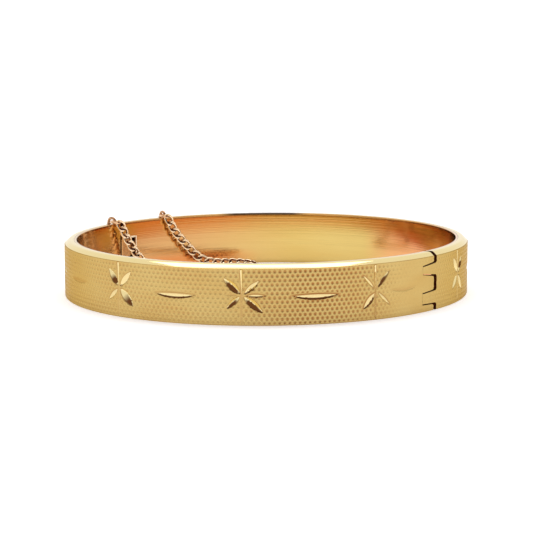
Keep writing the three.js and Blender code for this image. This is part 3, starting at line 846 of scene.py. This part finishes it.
def principal_axes(node):
    """Centre of a CAD node and its long, middle and short directions, right-handed, from its vertices."""
    points = np.unique(np.round(vertices_of(frame["nodes"][node].data), 4), axis=0)
    centre = points.mean(0)
    _, _, axes = np.linalg.svd(points - centre, full_matrices=False)
    axes[2] = np.cross(axes[0], axes[1])
    return centre, axes


PAINTED_LIGHT_BASE = 0.4  # painted brightness of a link's wire half way round, then what its outside and faces add
PAINTED_LIGHT_OUTSIDE = 0.45
PAINTED_LIGHT_FACE = 0.35


def mark_painted_light(link, centreline, centre, face):
    """Stores how far each vertex of a link's wire lies on its outside or on one of its faces, 0 to 1, for
    its painted highlight and shade.
    """
    rings = np.repeat(centreline, LINK_SIDES, axis=0)
    offset = (vertices_of(link.data) - rings) / LINK_WIRE
    outward = rings - centre
    outward /= np.linalg.norm(outward, axis=1, keepdims=True)
    share = PAINTED_LIGHT_BASE + PAINTED_LIGHT_OUTSIDE * (offset * outward).sum(1) + PAINTED_LIGHT_FACE * np.abs(offset @ face)
    attribute = link.data.attributes.new("painted_light", "FLOAT", "POINT")
    attribute.data.foreach_set("value", np.clip(share, 0, 1))


def squared(value):
    """A sine or cosine that makes the loop fuller than an oval."""
    return np.sign(value) * np.abs(value) ** LINK_SQUARENESS


def curb_loop(steps=40):
    """The centreline of a twisted curb link, in its own axes."""
    turn = full_turn(steps)
    across = LINK_HALF_WIDTH * squared(np.sin(turn))
    twist = LINK_TWIST * np.cos(turn)
    along = LINK_HALF_LENGTH * squared(np.cos(turn))
    return np.column_stack([along, across * np.cos(twist), across * np.sin(twist)])


def ring_loop(steps=40):
    """The centreline of a jump ring, in its own axes."""
    turn = full_turn(steps)
    return RING_RADIUS * np.column_stack([np.cos(turn), np.sin(turn), np.zeros(steps)])


def staple_path(distance):
    """The centreline of an eyelet: up one leg, over its arch across the rim, and down the other leg."""
    arch = np.radians(np.linspace(0, 180, 17))
    leg = np.linspace(-EYELET_ROOT, EYELET_LEG - EYELET_BEND, 3)
    side = np.full(len(leg), EYELET_RADIUS)
    across = np.concatenate([side, EYELET_RADIUS * np.cos(arch), -side])
    up = np.concatenate([leg, EYELET_LEG + EYELET_RADIUS * np.sin(arch), leg[::-1]])
    return band_points(distance, EYELET_DEPTH + across, HEIGHT + up)


def window_edge(points=9):
    """A line round the window's three edges, from the clasp and back to it."""
    side = np.linspace(REAR_END - FRAME_SETBACK, window_far, points)
    low, high = MIDDLE - WINDOW_HALF_HEIGHT, MIDDLE + WINDOW_HALF_HEIGHT
    upright = np.linspace(low, high, points)[1:-1]
    along = np.concatenate([side, np.full(len(upright), window_far), side[::-1]])
    up = np.concatenate([np.full(points, low), upright, np.full(points, high)])
    return band_points(along, WALL, up)


links = sorted(name for name in frame["nodes"] if name.startswith("chain_link_"))
for node in links:
    centre, axes = principal_axes(node)
    loop = centre + curb_loop() @ axes
    link = tube(node.replace("chain_link", "curb_link"), loop, LINK_WIRE, link_wire, True, LINK_SIDES)
    mark_painted_light(link, loop, centre, axes[2])
    place(link, frame["nodes"][node]["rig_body"], "wire_gold", node)

for half in ("front", "rear"):
    centre, axes = principal_axes(f"{half}_jump_ring")
    ring = tube(f"{half}_ring", centre + ring_loop() @ axes, RING_WIRE, wire, closed=True)
    place(ring, f"{half}_jump_ring", "wire_gold", f"{half}_jump_ring")

for half in ("front", "rear"):
    low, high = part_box(f"{half}_eyelet")
    middle = (low + high) / 2 / MM
    angle = math.atan2(middle.y / (HALF_LENGTH - EYELET_DEPTH), middle.x / (HALF_WIDTH - EYELET_DEPTH))
    distance = distance_at(angle)
    eyelet = tube(f"{half}_staple", staple_path(distance), EYELET_WIRE, old_wire, closed=False)
    place(eyelet, f"{half}_half", "wire_gold", f"{half}_eyelet")
    for foot, side in (("inner", 1), ("outer", -1)):
        foot_point = band_points(distance, EYELET_DEPTH + side * EYELET_RADIUS, HEIGHT)
        bead = dome(f"{half}_{foot}_solder", foot_point, old_wire)
        place(bead, f"{half}_half", "wire_gold")

window_frame = tube("window_frame", window_edge(), FRAME_WIRE, frame_wire, closed=False)
place(window_frame, "rear_half", "polished_gold")

KEPT = {
    "front_end_plate": plate, "rear_mouth_plate": plate, "clasp_tongue": spring, "catch_spring": spring,
    "hinge_pin": spring,
}
for node, material in KEPT.items():
    cad = frame["nodes"][node]
    cad.data.materials.clear()
    cad.data.materials.append(material)

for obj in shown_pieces():
    add_band_coordinates(obj)

# ---- Floor ----------------------------------------------------------------------------------------
FLOOR_HALF = 0.4
FLOOR_GREY = (0.9, 0.9, 0.9, 1)
FLOOR_GLOW = 0.42  # lit a little from below, like a light table, which keeps it white
floor_mesh = bpy.data.meshes.new("floor")
floor_corners = [(x * FLOOR_HALF, y * FLOOR_HALF, 0) for x, y in ((-1, -1), (1, -1), (1, 1), (-1, 1))]
floor_mesh.from_pydata(floor_corners, [], [(0, 1, 2, 3)])
floor = bpy.data.objects.new("floor", floor_mesh)
bpy.context.scene.collection.objects.link(floor)
paper = bpy.data.materials.new("pale_floor")
paper.use_nodes = True
paper_shader = paper.node_tree.nodes["Principled BSDF"]
paper_shader.inputs["Base Color"].default_value = FLOOR_GREY
paper_shader.inputs["Roughness"].default_value = 0.9
paper_shader.inputs["Specular IOR Level"].default_value = 0.0
paper_shader.inputs["Emission Color"].default_value = (1, 1, 1, 1)
paper_shader.inputs["Emission Strength"].default_value = FLOOR_GLOW
floor_mesh.materials.append(paper)

# ---- Light ----------------------------------------------------------------------------------------
# The studio is white all round and overhead, but for a dim warm band high on the camera's side that the
# bright cuts pick up.
CAMERA_AZIMUTH = math.radians(40)
CAMERA_ELEVATION = math.radians(8.357)
STUDIO_WHITE = (1.05, 1.05, 1.05)
STUDIO_DIM = (0.17, 0.075, 0.045)
STUDIO_STOPS = [  # over the sine of the elevation
    (0.0, STUDIO_WHITE), (0.24, STUDIO_WHITE), (0.4, STUDIO_DIM), (0.86, STUDIO_DIM), (0.96, STUDIO_WHITE),
]
FRONTAL_FULL = 0.2  # how far towards the camera a direction points where the band is full
world = bpy.data.worlds.new("studio")
bpy.context.scene.world = world
world.use_nodes = True
sky = world.node_tree
direction = sky.nodes.new("ShaderNodeTexCoord").outputs["Generated"]
height = sky.nodes.new("ShaderNodeSeparateXYZ")
sky.links.new(direction, height.inputs["Vector"])
dim_band = color_ramp(sky, height.outputs["Z"], STUDIO_STOPS)
frontal = sky.nodes.new("ShaderNodeVectorMath")
frontal.operation = "DOT_PRODUCT"
frontal.inputs[1].default_value = (math.sin(CAMERA_AZIMUTH), -math.cos(CAMERA_AZIMUTH), 0)
sky.links.new(direction, frontal.inputs[0])
side = sky.nodes.new("ShaderNodeMapRange")
side.inputs["From Min"].default_value = 0.0
side.inputs["From Max"].default_value = FRONTAL_FULL
sky.links.new(frontal.outputs["Value"], side.inputs["Value"])
studio = sky.nodes.new("ShaderNodeMix")
studio.data_type = "RGBA"
studio.inputs["A"].default_value = (*STUDIO_WHITE, 1)
sky.links.new(dim_band, studio.inputs["B"])
sky.links.new(side.outputs["Result"], studio.inputs["Factor"])
sky.links.new(studio.outputs["Result"], sky.nodes["Background"].inputs["Color"])
sky.nodes["Background"].inputs["Strength"].default_value = 1.0


def aim(obj, azimuth, elevation, distance, target):
    """Links an object at a distance from a target and turns its -Z axis to it."""
    bpy.context.scene.collection.objects.link(obj)
    level = math.cos(elevation)
    back = Vector((math.sin(azimuth) * level, -math.cos(azimuth) * level, math.sin(elevation)))
    obj.location = target + back * distance
    obj.rotation_mode = "QUATERNION"
    obj.rotation_quaternion = back.to_track_quat("Z", "Y")


SOFTBOX_SIZE = (0.5, 0.25)
SOFTBOX_RADIANCE = 2.0
SOFTBOX_ELEVATION = math.radians(100)
SOFTBOX_DISTANCE = 0.5
softbox = bpy.data.lights.new("overhead", "AREA")
softbox.shape = "RECTANGLE"
softbox.size, softbox.size_y = SOFTBOX_SIZE
softbox.energy = SOFTBOX_RADIANCE * math.pi * SOFTBOX_SIZE[0] * SOFTBOX_SIZE[1]
overhead = bpy.data.objects.new("overhead", softbox)
aim(overhead, CAMERA_AZIMUTH, SOFTBOX_ELEVATION, SOFTBOX_DISTANCE, Vector((0, 0, 0)))

# ---- Camera ---------------------------------------------------------------------------------------
CAMERA_DISTANCE = 284.82 * MM
camera_data = bpy.data.cameras.new("camera")
camera_data.sensor_width = 36
camera_data.lens = 121.7
camera_data.shift_x = -0.0012
camera_data.shift_y = -0.0070
camera_data.clip_start = 0.01
camera = bpy.data.objects.new("camera", camera_data)
aim(camera, CAMERA_AZIMUTH, CAMERA_ELEVATION, CAMERA_DISTANCE, Vector((0, 0, MIDDLE * MM)))
bpy.context.scene.camera = camera
bpy.context.scene.view_settings.view_transform = "Standard"
